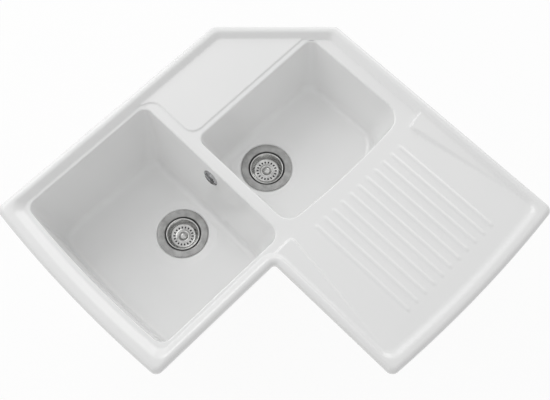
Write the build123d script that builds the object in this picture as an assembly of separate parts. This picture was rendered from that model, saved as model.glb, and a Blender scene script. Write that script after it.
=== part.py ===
from build123d import *
import os
from dataclasses import dataclass, replace
from math import atan2, cos, degrees, hypot, radians, sin, sqrt

# Corner kitchen sink: one glazed fireclay body with a big bowl, a small bowl, a ribbed
# drainer and a tap ledge, two lift-out basket strainers, an overflow and the pipework
# that joins both wastes. Millimetres, +Z up, worktop surface at z = 0.
#
# The plan is drawn from the corner where the two walls meet: x runs along the drainer
# wing's wall, y is negative along the big bowl wing's wall. At the end every piece moves
# so that the origin is the middle of the seat behind the cut-off corner.

# ---- body -------------------------------------------------------------------------
WING_LENGTH = 802.0  # wall corner to either wing's tip
WING_DEPTH = 483.0  # wall to the front of either wing
END_BOW = 11.0  # how far a wing's end swells out between its corners
CORNER_CUT = 193.0  # leg of the cut-off wall corner
TIP_ROUND = 14.0
CUT_ROUND = 16.0
INNER_ROUND = 8.0  # where the two wings' fronts meet

RIM_TOP = 18.0  # crest of the rim above the worktop
RIM_ROUND = 11.0
RIM_EDGE = 12.0  # what the deck's raised parts keep from the outline, inside the rim
CREST_ROUND = 8.0
CREST_BACK = 18.0  # from the outline to the crest line, by side
CREST_END = 21.0
CREST_FRONT = 15.0
CREST_CUT = 17.0
SIDE_SLOPE = 45.0  # the rim's inner slopes, from upright
END_SLOPE = 60.0
DECK = 5.0  # level floor round the bowls
DECK_ROUND = 7.0
SLAB_BOTTOM = -8.0
SEAT_WIDTH = 22.0  # rim that rests on the worktop
WALL = 9.0  # bowl walls
FLOOR = 14.0  # bowl floors
BOWL_ROUND = 18.5  # between a bowl's walls and its floor
SHELL_CORNER = 30.0  # a bowl's underside, its upright corners and its lower edge
SHELL_SLANT = 16.0

LIP_ROUND = 2.5  # round the bowls' mouths

LEDGE_TOP = 7.5  # tap ledge
LEDGE_FRONT = -404.0
LEDGE_RIGHT = 160.0
LEDGE_ROUND = 25.0
LEDGE_TURN = 63.6  # where its front edge turns forward
LEDGE_TAIL = (26.0, -440.0)  # where its left end runs out beside the rim
LEDGE_INSET = 20.0  # from the outline to its sides, inside the rim
LEDGE_EDGE = 1.5  # softening of its step
TAP_HOLE_RADIUS = 17.5  # blind recess under the ledge, opened when a tap is fitted
TAP_HOLE_SKIN = 4.0
TAP_HOLE = (100.0, -262.0)

LAND_TOP = 11.0  # level lands beside the drainer
BACK_LAND = ((462.0, -12.0), (475.0, -65.0), (765.0, -24.0), (765.0, -12.0))
FRONT_LAND = ((765.0, -471.0), (765.0, -461.0), (484.0, -419.0), (470.0, -419.0), (465.0, -471.0))
LAND_CORNERS = ((475.0, -65.0), (470.0, -419.0))  # the corner of each that is rounded
LAND_CORNER = 6.0
LAND_TAPER = 30.0
RAMP_START = 456.0
RAMP_END = 745.0
RIB_COUNT = 11
RIB_PITCH = 25.0
RIB_FIRST = -115.0
RIB_WIDTH = 11.0
RIB_HEIGHT = 1.4
RIB_ROOT = 0.8  # how far a rib's straight root reaches into the drainer
RIB_SINK = 0.1
RIB_START = 486.0
RIB_END = 736.0

# ---- waste fittings, heights from a bowl's floor -------------------------------------
DISH_RADIUS = 78.0
DISH_DEPTH = 2.0
RECESS_RADIUS = 58.0
RECESS_DEPTH = 3.5
WASTE_HOLE = 45.0
FLANGE_RADIUS = 56.5
CUP_HOLES = 8
CUP_HOLE_RADIUS = 4.2
CUP_HOLE_CIRCLE = 16.0
BASKET_SLOTS = 18
SLOT_CIRCLE = 21.0
SLOT_LENGTH = 4.6
SLOT_WIDTH = 2.8
OUTLET_END = -72.0  # lower end of the waste body's thread
OUTLET_THREAD = 24.0
OUTLET_NUT_TOP = -61.0
WASHER = 2.0
BOLT_RADIUS = 3.0

# ---- pipework -----------------------------------------------------------------------
PIPE_RADIUS = 20.0
PIPE_WALL = 2.5
FITTING_RADIUS = 21.0  # the elbow's and the tee's own pipe
FITTING_BORE = 18.0
COLLAR_RADIUS = 23.4
SOCKET_RADIUS = 24.0
SOCKET_DEPTH = 24.0
SOCKET_GAP = 0.25
GRIP_LUGS = 6
PIPE_INSERTION = 20.0
LINK_HEIGHT = -290.0
BRANCH_REACH = 62.0
ELBOW_RADIUS = 36.0
TEE_DROP = 33.0  # branch centre to the tee's lower end
OUTLET_REACH = 45.0  # bare pipe below the tee
STOP_RADIUS = 21.8  # bead that stops a trap's nut from riding up
STOP_TOP = 9.5  # from the tee's lower end to the bead
STOP_WIDTH = 2.0

# ---- overflow ----------------------------------------------------------------------
OVERFLOW_HEIGHT = -35.0
OVERFLOW_HOLE = 13.0
ROSETTE_RADIUS = 19.5
SPOT_RADIUS = 24.0
SPOT_DEPTH = 3.0
ELBOW_DEPTH = 12.0
HOSE_RADIUS = 9.8
HOSE_BORE = 8.0
HOSE_TOP = -58.0
HOSE_LINE = -414.0
HOSE_BEND = 45.0
INLET_DROP = -38.0
INLET_REACH = 62.0


@dataclass(frozen=True)
class Bowl:
    """A bowl's mouth at deck level, its floor and where its waste sits."""

    left: float
    right: float
    back: float
    front: float
    bow_right: float
    bow_front: float
    corner_radii: tuple
    floor: float
    draft: float
    waste: tuple

    def plan(self, growth):
        """The bowl's sharp-cornered plan, each side moved out by growth."""
        left = self.left - growth
        right = self.right + growth
        back = self.back + growth
        front = self.front - growth
        corners = ((left, back), (right, back), (right, front), (left, front))
        edges = [
            Line(corners[0], corners[1]),
            bowed(corners[1], corners[2], (self.bow_right, 0)),
            bowed(corners[2], corners[3], (0, -self.bow_front)),
            Line(corners[3], corners[0]),
        ]
        return make_face(edges), corners

    def block(self, growth, bottom, radii):
        """The bowl's space as a solid from the deck down to bottom, larger by growth."""
        outline, corners = self.plan(growth)
        lean = degrees(atan2(self.draft, DECK - self.floor))
        block = drafted(outline, DECK, bottom, lean)
        for corner, radius in zip(corners, radii):
            block = fillet(upright_edge(block, corner), radius)
        return block

    def spans(self, box):
        """True for a box that lies within the mouth's bounds."""
        across = self.left - 1 < box.min.X and box.max.X < self.right + self.bow_right + 1
        return across and self.front - self.bow_front - 1 < box.min.Y and box.max.Y < self.back + 1

    def cavity(self):
        """The bowl's hollow."""
        return fillet(floor_edges(self.block(0, self.floor, self.corner_radii)), BOWL_ROUND)

    def shell(self):
        """The bowl's outside with flat sides, solid."""
        outside = replace(
            self,
            right=self.right + self.bow_right,
            front=self.front - self.bow_front,
            bow_right=0.0,
            bow_front=0.0,
        )
        block = outside.block(WALL, self.floor - FLOOR, [SHELL_CORNER] * 4)
        return chamfer(floor_edges(block), SHELL_SLANT)


BIG = Bowl(
    left=37.0,
    right=447.0,
    back=-428.0,
    front=-754.0,
    bow_right=0.0,
    bow_front=9.0,
    corner_radii=(20.0, 28.0, 20.0, 20.0),
    floor=-185.0,
    draft=25.0,
    waste=(243.0, -532.0),
)
SMALL = Bowl(
    left=172.0,
    right=440.0,
    back=-58.0,
    front=-402.0,
    bow_right=9.0,
    bow_front=0.0,
    corner_radii=(20.0, 38.0, 28.0, 20.0),
    floor=-140.0,
    draft=23.0,
    waste=(276.0, -301.0),
)
BOWLS = {"big": BIG, "small": SMALL}


# ---- helpers ------------------------------------------------------------------------
def bowed(start, end, bow):
    """An edge from start to end whose middle is pushed out by bow."""
    if bow == (0, 0):
        return Line(start, end)
    middle = ((start[0] + end[0]) / 2 + bow[0], (start[1] + end[1]) / 2 + bow[1])
    return ThreePointArc(start, middle, end)


def rounded(face, corners):
    """Round a plan's corners, each ((x, y), radius)."""
    for (x, y), radius in corners:
        corner = face.vertices().sort_by_distance(Vector(x, y, 0))[0]
        face = face.face().fillet_2d(radius, [corner])
    return face


def corner_points(back, end, front, cut):
    """Corners of the sink's plan with its wall, end, front and cut-off sides moved in.

    They run from the cut-off corner along the drainer wing and back along the other.
    """
    cut_x = CORNER_CUT + cut * sqrt(2) - back
    tip = WING_LENGTH - end
    face = WING_DEPTH - front
    return (
        (cut_x, -back),
        (tip, -back),
        (tip, -face),
        (face, -face),
        (face, -tip),
        (back, -tip),
        (back, -cut_x),
    )


def corner_plan(back, end, front, cut, radii=None):
    """The sink's plan, its corners rounded by radii: cut-off corner, tips, inner corner."""
    points = corner_points(back, end, front, cut)
    bows = [(0, 0)] * len(points)
    bows[1] = (END_BOW, 0)
    bows[4] = (0, -END_BOW)
    sides = zip(points, points[1:] + points[:1], bows)
    plan = make_face([bowed(start, stop, bow) for start, stop, bow in sides])
    return rounded(plan, zip(points, by_corner(radii))) if radii else plan


def by_corner(radii):
    """One radius for each of the sink's corners from cut-off, tip and inner radii."""
    cut_off, tip, inner = radii
    return (cut_off, tip, tip, inner, tip, tip, cut_off)


def drafted(plan, top, bottom, lean):
    """A plan's block whose walls lean in by lean degrees towards the bottom."""
    block = extrude(Pos(0, 0, bottom) * plan, top - bottom)
    return draft(upright_faces(block), Plane((0, 0, top)), -lean)


def upright_faces(shape):
    """The faces that stand straight up."""
    return [f for f in shape.faces() if abs(f.normal_at().Z) < 0.01]


def upright_edge(shape, corner):
    """The edge between two walls whose top is nearest to a plan corner."""
    height = shape.bounding_box().size.Z
    walls = [e for e in shape.edges() if e.bounding_box().size.Z > 0.9 * height]
    return min(walls, key=lambda e: top_distance(e, corner))


def floor_edges(shape):
    """The edges round a shape's lowest face."""
    return shape.faces().sort_by(Axis.Z)[0].edges()


def top_distance(edge, corner):
    """How far an edge's upper end is from a plan corner."""
    top = max((edge @ 0, edge @ 1), key=lambda end: end.Z)
    return hypot(top.X - corner[0], top.Y - corner[1])


def turned(*points):
    """A turned piece from its half section, as (radius, height) points."""
    return revolve(Plane.XZ * make_face(Polyline(*points, close=True)), Axis.Z)


def ring(inner, outer, bottom, top):
    """A plain ring about the Z axis."""
    return turned((inner, bottom), (outer, bottom), (outer, top), (inner, top))


def rod(radius, bottom, top):
    """A cylinder about the Z axis."""
    return extrude(Pos(0, 0, bottom) * Circle(radius), top - bottom)


def at_floor(bowl, shape):
    """Place a fitting that is drawn from a bowl's floor."""
    return Pos(bowl.waste[0], bowl.waste[1], bowl.floor) * shape


# ---- fireclay body --------------------------------------------------------------------
def rim_and_deck():
    """The rim, its rounded crest and the level deck inside it."""
    rim = extrude(corner_plan(0, 0, 0, 0, (CUT_ROUND, TIP_ROUND, INNER_ROUND)), RIM_TOP)
    rim = fillet(rim.faces().sort_by(Axis.Z)[-1].edges(), RIM_ROUND)
    rim -= rim_well()
    rim = fillet([e for e in rim.edges() if is_crest(e)], CREST_ROUND)
    deck = [f for f in rim.faces() if abs(f.center().Z - DECK) < 0.01]
    rim = fillet(deck[0].edges(), DECK_ROUND)
    inset = SEAT_WIDTH
    slab_plan = corner_plan(inset, inset, inset, inset, (8, 6, INNER_ROUND + inset))
    slab = extrude(Pos(0, 0, SLAB_BOTTOM) * slab_plan, DECK - 1 - SLAB_BOTTOM)
    return rim + slab


def rim_well():
    """The space inside the rim above the deck, with gentler slopes at the wings' ends."""
    insets = (CREST_BACK, CREST_END, CREST_FRONT, CREST_CUT)
    block = extrude(Pos(0, 0, DECK) * corner_plan(*insets), RIM_TOP - DECK)
    crest = Plane((0, 0, RIM_TOP))
    sides = [f for f in upright_faces(block) if f.geom_type == GeomType.PLANE]
    well = draft(sides, crest, -SIDE_SLOPE)
    ends = [f for f in upright_faces(well) if f.geom_type == GeomType.CYLINDER]
    well = draft(ends, crest, -END_SLOPE)
    for corner, radius in zip(corner_points(*insets), by_corner((26, 20, 30))):
        well = fillet(upright_edge(well, corner), radius)
    return well


def is_crest(edge):
    """True for an edge of the rim's level crest on the side of the deck."""
    box = edge.bounding_box()
    level = abs(box.min.Z - RIM_TOP) < 0.01 and abs(box.max.Z - RIM_TOP) < 0.01
    if not level:
        return False
    point = edge.position_at(0.5)
    outer = RIM_ROUND + 1.5
    walls = min(point.X, -point.Y, (point.X - point.Y - CORNER_CUT) / sqrt(2))
    ends = min(WING_LENGTH + END_BOW - point.X, WING_LENGTH + END_BOW + point.Y)
    fronts = max(WING_DEPTH - point.X, WING_DEPTH + point.Y)
    return min(walls, ends, fronts) > outer


def tap_ledge():
    """The raised ledge in the wall corner, swept back to the rim at its left end."""
    inset = LEDGE_INSET
    turn = (LEDGE_TURN, LEDGE_FRONT)
    corner = (LEDGE_RIGHT, LEDGE_FRONT)
    behind = ((LEDGE_RIGHT, -inset), (inset, -inset), (inset, LEDGE_TAIL[1]))
    outline = Polyline(turn, corner, *behind, LEDGE_TAIL)
    sweep_back = Spline(LEDGE_TAIL, turn, tangents=((0.35, 1), (1, 0)))
    plan = rounded(make_face([outline, sweep_back]), [(corner, LEDGE_ROUND)])
    inside = corner_plan(inset, inset, inset, inset, (CUT_ROUND, TIP_ROUND, INNER_ROUND))
    ledge = extrude(Pos(0, 0, DECK - 2) * (plan & inside), LEDGE_TOP - DECK + 2)
    return fillet(ledge.faces().sort_by(Axis.Z)[-1].edges(), LEDGE_EDGE)


def drainer():
    """The sloping drainer with its ribs, between two level lands."""
    deep = DECK - 3
    profile = Polyline(
        (RAMP_START - 20, deep),
        (RAMP_START, DECK - 0.05),
        (RAMP_END, LAND_TOP),
        (WING_LENGTH - RIM_EDGE, LAND_TOP),
        (WING_LENGTH - RIM_EDGE, deep),
        close=True,
    )
    width = WING_DEPTH - 2 * SEAT_WIDTH
    ramp = extrude(Plane.XZ.offset(SEAT_WIDTH) * make_face(profile), width)
    lands = [land(*each) for each in zip((BACK_LAND, FRONT_LAND), LAND_CORNERS)]
    return [ramp] + lands + drainer_ribs()


def land(points, corner):
    """A level land with sloping sides."""
    plan = rounded(make_face(Polyline(*points, close=True)), [(corner, LAND_CORNER)])
    return extrude(Pos(0, 0, DECK - 2) * plan, LAND_TOP - DECK + 2, taper=LAND_TAPER)


def drainer_ribs():
    """Low rounded ribs that follow the drainer's slope."""
    slope = (LAND_TOP - DECK) / (RAMP_END - RAMP_START)
    length = hypot(1, slope) * (RIB_END - RIB_START)
    start_z = DECK + slope * (RIB_START - RAMP_START) - RIB_SINK
    half = RIB_WIDTH / 2
    crown = ThreePointArc((-half, 0), (0, RIB_HEIGHT), (half, 0))
    root = Polyline((half, 0), (half, -RIB_ROOT), (-half, -RIB_ROOT), (-half, 0))
    section = make_face([crown, root])
    bar = extrude(Plane.YZ * section, length)
    end = split(section, bisect_by=Plane.YZ)
    dome = revolve(Plane.XZ * end, Axis.Z)
    rib = Rot(0, -degrees(atan2(slope, 1)), 0) * (bar + dome + Pos(length, 0, 0) * dome)
    rows = [RIB_FIRST - RIB_PITCH * n for n in range(RIB_COUNT)]
    return [Pos(RIB_START, y, start_z) * rib for y in rows]


def waste_seat(bowl):
    """What is taken out of a bowl's floor for its waste."""
    dish = turned(
        (0, 1), (DISH_RADIUS, 1), (DISH_RADIUS, 0), (RECESS_RADIUS + 1, -DISH_DEPTH), (0, -DISH_DEPTH)
    )
    recess = rod(RECESS_RADIUS, -RECESS_DEPTH, 0)
    hole = rod(WASTE_HOLE, -FLOOR - 2, 0)
    return at_floor(bowl, dish + recess + hole)


def overflow_plane():
    """On the big bowl's back wall, Z out of the wall towards the bowl."""
    run = BIG.draft * (DECK - OVERFLOW_HEIGHT) / (DECK - BIG.floor)
    lean = atan2(BIG.draft, DECK - BIG.floor)
    origin = (BIG.waste[0], BIG.back - run, OVERFLOW_HEIGHT)
    return Plane(origin, x_dir=(1, 0, 0), z_dir=(0, -cos(lean), sin(lean)))


def is_lip(edge):
    """True for an edge of a bowl's mouth."""
    box = edge.bounding_box()
    level = abs(box.min.Z - DECK) < 0.01 and abs(box.max.Z - DECK) < 0.01
    return level and any(bowl.spans(box) for bowl in BOWLS.values())


def sink_body():
    """The glazed fireclay body in one piece."""
    body = rim_and_deck()
    body += [bowl.shell() for bowl in BOWLS.values()]
    body += tap_ledge()
    body += drainer()
    for bowl in BOWLS.values():
        body -= bowl.cavity()
    body = fillet([e for e in body.edges() if is_lip(e)], LIP_ROUND)
    for bowl in BOWLS.values():
        body -= waste_seat(bowl)
    tap_recess = rod(TAP_HOLE_RADIUS, SLAB_BOTTOM - 1, LEDGE_TOP - TAP_HOLE_SKIN)
    body -= Pos(TAP_HOLE[0], TAP_HOLE[1], 0) * tap_recess
    wall = overflow_plane()
    body -= wall * rod(OVERFLOW_HOLE, -WALL - 5, 5)
    body -= wall * rod(SPOT_RADIUS, -WALL - 6, SPOT_DEPTH - WALL)
    return body


# ---- basket strainers -----------------------------------------------------------------
def strainer_cup():
    """Pressed cup with its flange, and drain holes round the bolt."""
    cup = turned(
        (FLANGE_RADIUS, -2.5),
        (FLANGE_RADIUS - 0.6, -1.3),
        (42.0, -1.7),
        (39.9, -3.3),
        (31.6, -27.2),
        (29.4, -29.2),
        (BOLT_RADIUS + 0.5, -29.2),
        (BOLT_RADIUS + 0.5, -30.4),
        (32.0, -30.4),
        (41.2, -2.5),
    )
    hole = extrude(RegularPolygon(CUP_HOLE_RADIUS, 8), -80)
    return cup - PolarLocations(CUP_HOLE_CIRCLE, CUP_HOLES) * hole


def basket():
    """Perforated basket, a ring of radial slots in its floor."""
    shell = turned(
        (37.2, -4.2),
        (35.0, -4.2),
        (34.4, -5.0),
        (27.6, -18.0),
        (26.0, -19.0),
        (BOLT_RADIUS, -19.0),
        (BOLT_RADIUS, -20.0),
        (26.6, -20.0),
        (28.6, -18.7),
        (35.6, -5.2),
        (37.2, -5.2),
    )
    slot = extrude(Rectangle(SLOT_LENGTH, SLOT_WIDTH), -80)
    return shell - PolarLocations(SLOT_CIRCLE, BASKET_SLOTS) * slot


def basket_knob():
    """Domed pull with the post that carries the stopper."""
    return turned(
        (0, -12.4),
        (4.5, -13.0),
        (7.6, -14.8),
        (9.0, -17.4),
        (9.0, -19.0),
        (BOLT_RADIUS, -19.0),
        (BOLT_RADIUS, -25.2),
        (0, -25.2),
    )


def basket_stopper():
    """Rubber disc under the basket that closes the cup's drain holes."""
    return turned(
        (BOLT_RADIUS, -22.4),
        (19.0, -22.4),
        (26.8, -27.6),
        (26.8, -28.9),
        (22.4, -28.9),
        (18.5, -25.2),
        (BOLT_RADIUS, -25.2),
    )


def clamp_bolt():
    """Bolt that draws the cup and the waste body together."""
    head = rod(5.0, -29.2, -26.2) - Pos(0, 0, -26.2) * Box(8, 1.2, 3)
    return head + rod(BOLT_RADIUS, -64, -29.2)


def nut_insert():
    """Hexagonal brass insert moulded into the waste body."""
    hexagon = extrude(Pos(0, 0, -60) * RegularPolygon(5.4, 6), 14)
    return hexagon - rod(BOLT_RADIUS, -61, -45)


def waste_body():
    """Moulded waste body with a threaded outlet and a spider for the bolt."""
    outer = turned(
        (0, -16),
        (55, -16),
        (55, -20),
        (48.5, -21),
        (38.5, -41),
        (OUTLET_THREAD, -51),
        (OUTLET_THREAD, OUTLET_END),
        (0, OUTLET_END),
    )
    inner = turned(
        (0, -15),
        (45.5, -15),
        (45.5, -20),
        (36, -40),
        (19.5, -51),
        (19.5, OUTLET_END - 1),
        (0, OUTLET_END - 1),
    )
    arm = Pos(22, 0, -51) * Box(44, 3, 14)
    spider = rod(8.5, -60, -44) + PolarLocations(0, 3, start_angle=30) * arm
    return outer - inner + (spider & outer) - nut_insert() - rod(BOLT_RADIUS, -70, -40)


def waste_set(name, bowl):
    """The fittings of one bowl's waste, by node name."""
    pieces = {
        "strainer_cup": strainer_cup(),
        "cup_gasket": ring(46, 56, -RECESS_DEPTH, -2.5),
        "basket": basket(),
        "basket_knob": basket_knob(),
        "basket_stopper": basket_stopper(),
        "clamp_bolt": clamp_bolt(),
        "nut_insert": nut_insert(),
        "waste_gasket": ring(46.5, 54.5, -16, -FLOOR),
        "waste_body": waste_body(),
        "outlet_washer": ring(17.6, 23.4, OUTLET_END - WASHER, OUTLET_END),
    }
    return {f"{name}_{piece}": at_floor(bowl, shape) for piece, shape in pieces.items()}


# ---- pipework -------------------------------------------------------------------------
def grip_nut(thread, hole, bottom, top, shoulder):
    """Union nut with grip lugs, its shoulder at the lower end."""
    body = ring(thread, thread + 4, bottom, top) + ring(hole, thread + 4, bottom, bottom + shoulder)
    lug = Pos(0, 0, bottom) * extrude(Rectangle(3, 5), top - bottom)
    return body + PolarLocations(thread + 4.2, GRIP_LUGS) * lug


def outlet_nut(bowl):
    """The nut that holds a pipe's collar to a waste body's thread."""
    collar_bottom = OUTLET_END - WASHER - 2
    nut = grip_nut(
        OUTLET_THREAD, FITTING_RADIUS + 0.4, collar_bottom - 3, OUTLET_NUT_TOP, 3
    )
    return at_floor(bowl, nut)


def link_direction():
    """Heading in degrees from the small waste to the big one."""
    dx = BIG.waste[0] - SMALL.waste[0]
    dy = BIG.waste[1] - SMALL.waste[1]
    return degrees(atan2(dy, dx)), hypot(dx, dy)


def link_frame(bowl, heading):
    """Under a bowl's waste at the link's height, Z along the heading."""
    way = (cos(radians(heading)), sin(radians(heading)), 0)
    return Plane((bowl.waste[0], bowl.waste[1], LINK_HEIGHT), x_dir=(0, 0, 1), z_dir=way)


def socket(end):
    """The socket at a pipe's end and the bore that takes the next pipe."""
    body = rod(SOCKET_RADIUS, end - SOCKET_DEPTH, end)
    bore = rod(PIPE_RADIUS + SOCKET_GAP, end - SOCKET_DEPTH + 3, end + 1)
    return body, bore


def cone_washer(end):
    """Tapered seal that the nut presses on to the pipe at a socket's mouth."""
    inner = PIPE_RADIUS
    return turned((inner, end), (SOCKET_RADIUS - 0.3, end), (inner + 2.4, end + 5), (inner, end + 5))


def socket_nut(end):
    """Nut over a socket's mouth, its shoulder away from the socket."""
    nut = grip_nut(SOCKET_RADIUS, PIPE_RADIUS + 0.4, -end - 8.5, 12 - end, 3.5)
    return Rot(180, 0, 0) * nut


def collar_top(bowl):
    """Height of a pipe's collar under a waste body."""
    return bowl.floor + OUTLET_END - WASHER


def small_elbow():
    """Drop pipe and bend from the small waste to the link pipe."""
    heading, _ = link_direction()
    frame = link_frame(SMALL, heading)
    x, y = SMALL.waste
    top = collar_top(SMALL)
    turn = Vector(frame.z_dir) * (BRANCH_REACH - 1)
    start, corner = Vector(x, y, top), Vector(x, y, LINK_HEIGHT)
    path = FilletPolyline(start, corner, corner + turn, radius=ELBOW_RADIUS)
    section = Plane(start, z_dir=(0, 0, -1))
    outer = sweep(section * Circle(FITTING_RADIUS), path=path)
    inner = sweep(section * Circle(FITTING_BORE), path=path)
    body, bore = socket(BRANCH_REACH)
    collar = Pos(x, y, top) * rod(COLLAR_RADIUS, -WASHER, 0)
    return outer + collar + frame * body - inner - frame * bore


def waste_tee():
    """Tee under the big waste: link pipe in at the side, outlet below."""
    heading, _ = link_direction()
    side = link_frame(BIG, heading + 180)
    x, y = BIG.waste
    top = collar_top(BIG) - LINK_HEIGHT
    down = Plane((x, y, LINK_HEIGHT), x_dir=(1, 0, 0), z_dir=(0, 0, -1))
    stem = rod(FITTING_RADIUS, -top, TEE_DROP) + rod(COLLAR_RADIUS, -top, WASHER - top)
    arm = rod(FITTING_RADIUS, 0, BRANCH_REACH)
    low_body, low_bore = socket(TEE_DROP + SOCKET_DEPTH)
    side_body, side_bore = socket(BRANCH_REACH)
    bore = FITTING_BORE
    solid = down * (stem + low_body) + side * (arm + side_body)
    hollow = down * (rod(bore, -top - 1, TEE_DROP + 5) + low_bore)
    return solid - hollow - side * (rod(bore, 0, BRANCH_REACH) + side_bore)


def pipework():
    """The link between the wastes, the tee, the elbow and the outlet pipe."""
    heading, distance = link_direction()
    from_small = link_frame(SMALL, heading)
    from_big = link_frame(BIG, heading + 180)
    x, y = BIG.waste
    down = Plane((x, y, LINK_HEIGHT), x_dir=(1, 0, 0), z_dir=(0, 0, -1))
    low_end = TEE_DROP + SOCKET_DEPTH
    inset = BRANCH_REACH - PIPE_INSERTION
    link = ring(PIPE_RADIUS - PIPE_WALL, PIPE_RADIUS, inset, distance - inset)
    bore = PIPE_RADIUS - PIPE_WALL
    outlet = ring(bore, PIPE_RADIUS, low_end - PIPE_INSERTION, low_end + OUTLET_REACH)
    bead = low_end + STOP_TOP
    outlet += ring(bore + 1, STOP_RADIUS, bead, bead + STOP_WIDTH)
    return {
        "small_elbow": small_elbow(),
        "waste_tee": waste_tee(),
        "link_pipe": from_small * link,
        "outlet_pipe": down * outlet,
        "outlet_nuts": Compound([outlet_nut(BIG), outlet_nut(SMALL)]),
        "pipe_nuts": Compound(
            [
                from_small * socket_nut(BRANCH_REACH),
                from_big * socket_nut(BRANCH_REACH),
                down * socket_nut(low_end),
            ]
        ),
        "pipe_washers": Compound(
            [
                from_small * cone_washer(BRANCH_REACH),
                from_big * cone_washer(BRANCH_REACH),
                down * cone_washer(low_end),
            ]
        ),
    }


# ---- overflow -------------------------------------------------------------------------
def rosette():
    """Domed overflow cover with level slots and a bar across its middle."""
    dome = turned((0, 0), (ROSETTE_RADIUS, 0), (ROSETTE_RADIUS, 1.2), (14, 4.2), (0, 5.2))
    hollow = turned((0, -1), (OVERFLOW_HOLE + 2, -1), (OVERFLOW_HOLE + 2, 1.2), (0, 3.6))
    grille = dome - hollow
    for row in (-10, -5.5, 5.5, 10):
        width = 2 * sqrt(14.5**2 - row**2)
        grille -= Pos(0, row, 0) * Box(width, 2.4, 20)
    boss = rod(4.5, -4, 4)
    return grille + boss - rod(2.0, -5, 6) - rod(3.6, 3.4, 8)


def overflow_pieces():
    """Overflow cover, screw, gasket, elbow behind the wall, hose and its clips."""
    wall = overflow_plane()
    back = SPOT_DEPTH - WALL
    seat = back - 1.5
    rear = seat - ELBOW_DEPTH
    shell = rod(20, rear, seat) + rod(22, seat - 2.5, seat)
    room = rod(16.5, rear + 2, seat + 1)
    post = rod(5, rear, seat)
    x = BIG.waste[0]
    spigot = Pos(x, HOSE_LINE, 0) * rod(HOSE_BORE, HOSE_TOP - 10, HOSE_TOP + 11)
    bore = Pos(x, HOSE_LINE, 0) * rod(HOSE_BORE - 2, HOSE_TOP - 11, HOSE_TOP + 9)
    elbow = wall * (shell - room + post) + spigot - bore - wall * rod(1.6, rear + 1, seat + 1)
    screw = rod(3.3, 3.4, 5.0) + rod(1.6, rear + 1.5, 3.4) - Pos(0, 0, 5.0) * Box(7, 0.9, 1.2)
    low = BIG.floor + INLET_DROP
    mouth = BIG.waste[1] + INLET_REACH - 15
    route = FilletPolyline(
        (x, HOSE_LINE, HOSE_TOP), (x, HOSE_LINE, low), (x, mouth, low), radius=HOSE_BEND
    )
    section = Plane((x, HOSE_LINE, HOSE_TOP), z_dir=(0, 0, -1))
    hose = sweep(section * (Circle(HOSE_RADIUS) - Circle(HOSE_BORE)), path=route)
    clip = ring(HOSE_RADIUS, HOSE_RADIUS + 1.4, 0, 7)
    lug = Pos(HOSE_RADIUS + 3.4, 0, 3.5) * Box(5, 3.5, 7)
    inlet_end = Plane((x, mouth + 3, low), x_dir=(1, 0, 0), z_dir=(0, 1, 0))
    clips = [Pos(x, HOSE_LINE, HOSE_TOP - 10) * (clip + lug), inlet_end * (clip + lug)]
    return {
        "overflow_rosette": wall * rosette(),
        "overflow_screw": wall * screw,
        "overflow_gasket": wall * ring(14, 21.5, seat, back),
        "overflow_elbow": elbow,
        "overflow_hose": hose,
        "hose_clips": Compound(clips),
    }


def overflow_inlet(body):
    """The big waste body with the spigot that takes the overflow hose."""
    x, y = BIG.waste
    way = Plane((x, y, BIG.floor + INLET_DROP), x_dir=(1, 0, 0), z_dir=(0, 1, 0))
    spigot = rod(HOSE_BORE, 39, INLET_REACH)
    return body + way * spigot - way * rod(HOSE_BORE - 2, 34, INLET_REACH + 1)


# ---- assembly -------------------------------------------------------------------------
def all_pieces():
    """Every node by name, in the plan's frame."""
    pieces = {"sink_body": sink_body()}
    for name, bowl in BOWLS.items():
        pieces.update(waste_set(name, bowl))
    pieces["big_waste_body"] = overflow_inlet(pieces["big_waste_body"])
    pieces.update(pipework())
    pieces.update(overflow_pieces())
    return pieces


def main():
    os.makedirs("parts", exist_ok=True)
    across = CORNER_CUT / 2 + SEAT_WIDTH / 2 / sqrt(2)
    to_origin = Location((-across, across, 0))
    for name, shape in all_pieces().items():
        export_step(Compound(shape.solids()).moved(to_origin), f"parts/{name}.step")


if __name__ == "__main__":
    main()
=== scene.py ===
"""Looks of a corner kitchen sink in glazed fireclay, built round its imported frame."""

import logging
from collections.abc import Callable, Iterable, Mapping, Sequence
from dataclasses import dataclass
from enum import Enum, IntEnum
from math import atan2, cos, pi, radians, sin, sqrt, tan

import bmesh
import bpy
import numpy as np
from mathutils import Matrix, Vector


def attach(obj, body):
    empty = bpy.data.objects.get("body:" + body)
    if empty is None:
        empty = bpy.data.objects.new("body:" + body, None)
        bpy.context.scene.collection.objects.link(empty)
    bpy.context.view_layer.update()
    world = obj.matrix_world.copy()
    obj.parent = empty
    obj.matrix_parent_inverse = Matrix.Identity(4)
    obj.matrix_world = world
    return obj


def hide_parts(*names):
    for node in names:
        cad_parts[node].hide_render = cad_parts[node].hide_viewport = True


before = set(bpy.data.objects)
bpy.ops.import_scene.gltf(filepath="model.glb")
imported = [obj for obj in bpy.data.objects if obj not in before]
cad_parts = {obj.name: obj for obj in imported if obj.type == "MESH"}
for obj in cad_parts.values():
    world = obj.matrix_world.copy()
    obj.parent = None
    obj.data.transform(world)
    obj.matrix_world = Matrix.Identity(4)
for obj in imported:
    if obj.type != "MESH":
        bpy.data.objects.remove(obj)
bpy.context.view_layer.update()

LOG = logging.getLogger("corner_sink")
MM = 0.001

# Where the two walls meet, in the frame. Plans are in mm from there.
CORNER = (-0.104278, 0.104278)

# Points nearer to each other than this many mm count as one.
WELD = 0.001

Colour = tuple[float, float, float]
Plan = list[Vector]
Profile = Sequence[tuple[float, float]]


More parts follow.
